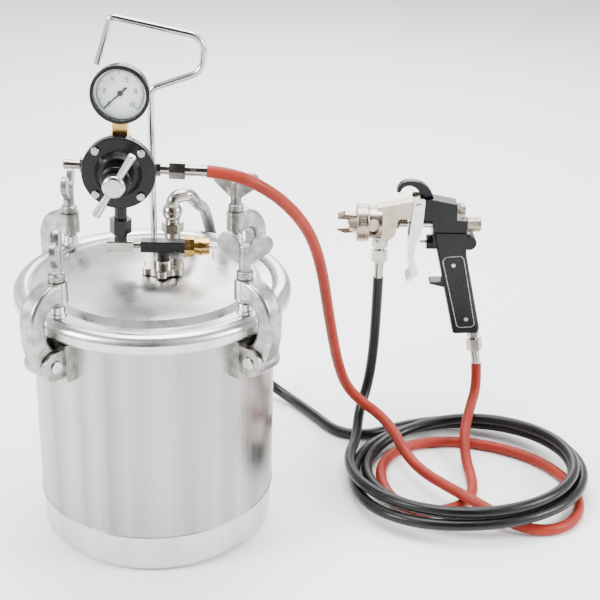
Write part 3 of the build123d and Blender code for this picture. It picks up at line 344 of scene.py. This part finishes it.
TICKS = 50
PER_NUMBER = 5          # a long tick stands at every fifth
ARC_STEPS = 60
TICK_OUT, TICK_LONG, TICK_SHORT = 0.90, 0.76, 0.83      # shares of the dial's radius
NUMBER_SHARE = 0.6
ticks = []
for i in range(TICKS + 1):
    at = SWEEP_FROM + SWEEP * i / TICKS
    inner = TICK_LONG if i % PER_NUMBER == 0 else TICK_SHORT
    ticks.append([on_dial(TICK_OUT, at), on_dial(inner, at)])
arc = [on_dial(TICK_OUT, SWEEP_FROM + SWEEP * i / ARC_STEPS) for i in range(ARC_STEPS + 1)]
strokes("dial_ticks", ticks, 0.0006, "pointer_black")
strokes("dial_arc", [arc], 0.0005, "pointer_black")
DIGITS = {
    "0": [(0, 0), (2, 0), (2, 4), (0, 4), (0, 0)],
    "1": [(1, 0), (1, 4)],
    "2": [(0, 4), (2, 4), (2, 2), (0, 2), (0, 0), (2, 0)],
    "4": [(0, 4), (0, 2), (2, 2), (2, 4), (2, 0)],
    "6": [(2, 4), (0, 4), (0, 0), (2, 0), (2, 2), (0, 2)],
    "8": [(0, 0), (2, 0), (2, 4), (0, 4), (0, 0), (0, 2), (2, 2)],
}
numbers = []
for i, label in enumerate(("0", "2", "4", "6", "8", "10")):
    for place, digit in enumerate(label):
        shift = (place - len(label) / 2) * 0.003 + 0.0005
        numbers.append([
            on_dial(NUMBER_SHARE, SWEEP_FROM + SWEEP * i / 5, shift + px * 0.001, (pz - 2) * 0.001)
            for px, pz in DIGITS[digit]
        ])
strokes("dial_numbers", numbers, 0.0007, "pointer_black")


# ---- regulator spring ----
SPRING_WIRE = 0.001
SPRING_TURNS = 5
PER_SPRING_TURN = 28
WIRE_SIDES = 10
spring_low, spring_high = node_box("regulator_spring")
spring_mid = (spring_low + spring_high) / 2
wind_r = (spring_high.x - spring_low.x) / 2 - SPRING_WIRE
spring_long = spring_high.y - spring_low.y
wire = bmesh.new()
rings = []
for i in range(SPRING_TURNS * PER_SPRING_TURN + 1):
    a = 2 * pi * i / PER_SPRING_TURN
    y = spring_low.y + SPRING_WIRE + (spring_long - 2 * SPRING_WIRE) * i / (SPRING_TURNS * PER_SPRING_TURN)
    outward = Vector((cos(a), 0, sin(a)))
    middle = Vector((spring_mid.x, y, spring_mid.z)) + outward * wind_r
    section = []
    for k in range(WIRE_SIDES):
        b = 2 * pi * k / WIRE_SIDES
        section.append(wire.verts.new(middle + (outward * cos(b) + Vector((0, 1, 0)) * sin(b)) * SPRING_WIRE))
    rings.append(section)
for one, two in zip(rings, rings[1:]):
    for k in range(WIRE_SIDES):
        wire.faces.new((one[k], one[k - 1], two[k - 1], two[k]))
wire.faces.new(rings[0])
wire.faces.new(reversed(rings[-1]))
bmesh.ops.recalc_face_normals(wire, faces=wire.faces)
spring_mesh = bpy.data.meshes.new("regulator_spring_wire")
wire.to_mesh(spring_mesh)
wire.free()
spring_mesh.shade_smooth()
spring = piece("regulator_spring_wire", spring_mesh, "spring_steel")
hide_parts("regulator_spring")
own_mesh(spring)


# ---- grip ----
GUN_Y = 180
GRIP_HALF = 12
PROUD = 0.05
PANEL_SCREWS = ((320.5, 213), (340, 146))
PANEL = [
    (308, 218), (311, 222.5), (328, 224.5), (331.5, 221),
    (350, 140), (347, 136.5), (333, 135.5), (329.5, 138),
]
for mirror in (-1, 1):
    y = (GUN_Y + mirror * (GRIP_HALF + PROUD)) * MM
    edge = "near" if mirror < 0 else "far"
    outline = [Vector((px * MM, y, pz * MM)) for px, pz in PANEL + PANEL[:1]]
    strokes(f"grip_panel_edge_{edge}", [outline], 0.0011, "clamp_casting")
    screws = bmesh.new()
    for px, pz in PANEL_SCREWS:
        head = bmesh.ops.create_cone(
            screws, cap_ends=True, segments=24, radius1=0.0028, radius2=0.0024, depth=0.0012,
        )["verts"]
        lay = Matrix.Rotation(mirror * -pi / 2, 4, "X")
        bmesh.ops.transform(screws, verts=head, matrix=Matrix.Translation((px * MM, y, pz * MM)) @ lay)
    screw_mesh = bpy.data.meshes.new(f"grip_screws_{edge}")
    screws.to_mesh(screw_mesh)
    screws.free()
    piece(f"grip_screws_{edge}", screw_mesh, "gun_nickel")


# ---- knurls ----
KNURL_RIDGE = 0.0007


def knurl(name, node, count, start, end, slot, body, share=1.0):
    """Fine ridges round a turned part that lies along X."""
    low, high = node_box(node)
    middle = (low + high) / 2
    reach = (high.z - low.z) / 2 * share
    x0 = low.x + (high.x - low.x) * start
    x1 = low.x + (high.x - low.x) * end
    lines = []
    for i in range(count):
        a = 2 * pi * i / count
        y, z = middle.y + reach * cos(a), middle.z + reach * sin(a)
        lines.append([Vector((x0, y, z)), Vector((x1, y, z))])
    return strokes(name, lines, KNURL_RIDGE, slot, body)


knurl("fluid_knob_knurl", "fluid_knob", 36, 0.35, 0.9, slot_of["fluid_knob"], "fluid_knob", 0.985)
knurl("spreader_knob_knurl", "spreader_knob", 32, 0.35, 0.9, slot_of["spreader_knob"], "spreader_knob", 0.985)
knurl("cap_ring_knurl", "cap_ring", 44, 0.3, 0.75, slot_of["cap_ring"], "cap_ring", 0.99)


# ---- studio ----
floor_mesh = bpy.data.meshes.new("floor")
shape = bmesh.new()
bmesh.ops.create_grid(shape, x_segments=8, y_segments=8, size=4)
shape.to_mesh(floor_mesh)
shape.free()
floor = bpy.data.objects.new("floor", floor_mesh)
pale = material("floor_pale", (0.93, 0.93, 0.93), 0.0, 0.6)
vary_roughness(pale, noise(pale, 6), 0.55, 0.7)
floor_mesh.materials.append(pale)
bpy.context.scene.collection.objects.link(floor)


def lamp(name, at, size, power, aim=(0.1, 0, 0.2)):
    """A soft square light turned towards a point."""
    data = bpy.data.lights.new(name, "AREA")
    data.size = size
    data.energy = power
    made = bpy.data.objects.new(name, data)
    made.location = at
    made.rotation_euler = (Vector(aim) - Vector(at)).to_track_quat("-Z", "Y").to_euler()
    bpy.context.scene.collection.objects.link(made)


lamp("key", (-1.7, -0.8, 1.3), 0.8, 84)
lamp("fill", (2.0, -0.5, 1.1), 0.8, 62)
lamp("top", (0.1, 0.3, 2.1), 1.4, 90)
lamp("back", (0.3, 1.8, 1.3), 1.2, 34)
world = bpy.data.worlds.new("studio")
world.use_nodes = True
sky = world.node_tree
way = sky.nodes.new("ShaderNodeTexCoord")
split = sky.nodes.new("ShaderNodeSeparateXYZ")
side = sky.nodes.new("ShaderNodeMath")
side.operation = "ABSOLUTE"
behind = sky.nodes.new("ShaderNodeMath")       # only the sky on the camera's side is dark
behind.operation = "MAXIMUM"
level_of_light = sky.nodes.new("ShaderNodeMapRange")
level_of_light.interpolation_type = "SMOOTHSTEP"
for socket, value in (("From Min", 0.12), ("From Max", 0.7), ("To Min", 0.04), ("To Max", 1.7)):
    level_of_light.inputs[socket].default_value = value
sky.links.new(way.outputs["Generated"], split.inputs["Vector"])
sky.links.new(split.outputs["X"], side.inputs[0])
sky.links.new(side.outputs["Value"], behind.inputs[0])
sky.links.new(split.outputs["Y"], behind.inputs[1])
sky.links.new(behind.outputs["Value"], level_of_light.inputs["Value"])
sky.links.new(level_of_light.outputs["Result"], sky.nodes["Background"].inputs["Strength"])
sky.nodes["Background"].inputs["Color"].default_value = (1, 1, 1, 1)
bpy.context.scene.world = world
